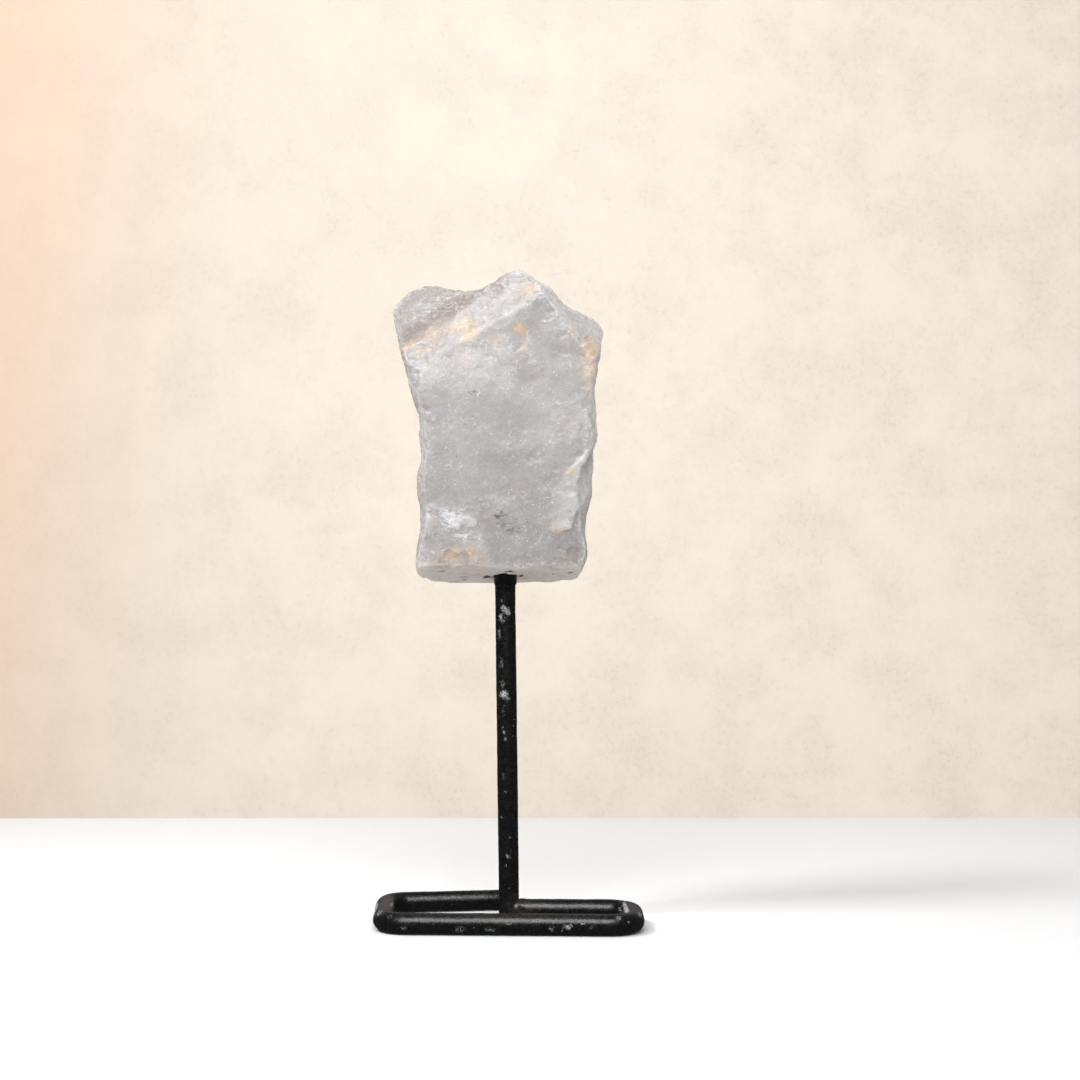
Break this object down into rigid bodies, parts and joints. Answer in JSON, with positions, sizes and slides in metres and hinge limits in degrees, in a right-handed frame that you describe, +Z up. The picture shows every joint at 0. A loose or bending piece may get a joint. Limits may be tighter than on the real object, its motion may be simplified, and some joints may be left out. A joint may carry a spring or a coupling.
{
  "type": "raw quartz on stand",
  "caption": "Raw slab of milky quartz with broken faces and iron stains, pinned upright on a post above a flat open loop of bent black iron rod.",
  "frame": {"origin": "centre of the whole object's footprint, on the surface that it stands on", "axes": "+Z up, the stone's broad broken face looks along -Y, +X to the right of someone facing it"},
  "size_m": [0.0776, 0.0484, 0.1892],
  "materials": {
    "quartz": "waxy, milky, broken surface with pale veils, glints and orange iron stains",
    "black_iron": "satin black, worn and slightly mottled",
    "black_glue": "semi-gloss hardened glue"
  },
  "bodies": {
    "root": {"quartz": "quartz", "base_rod": "black_iron", "post_rod": "black_iron", "glue_bead": "black_glue"}
  },
  "joints": []
}
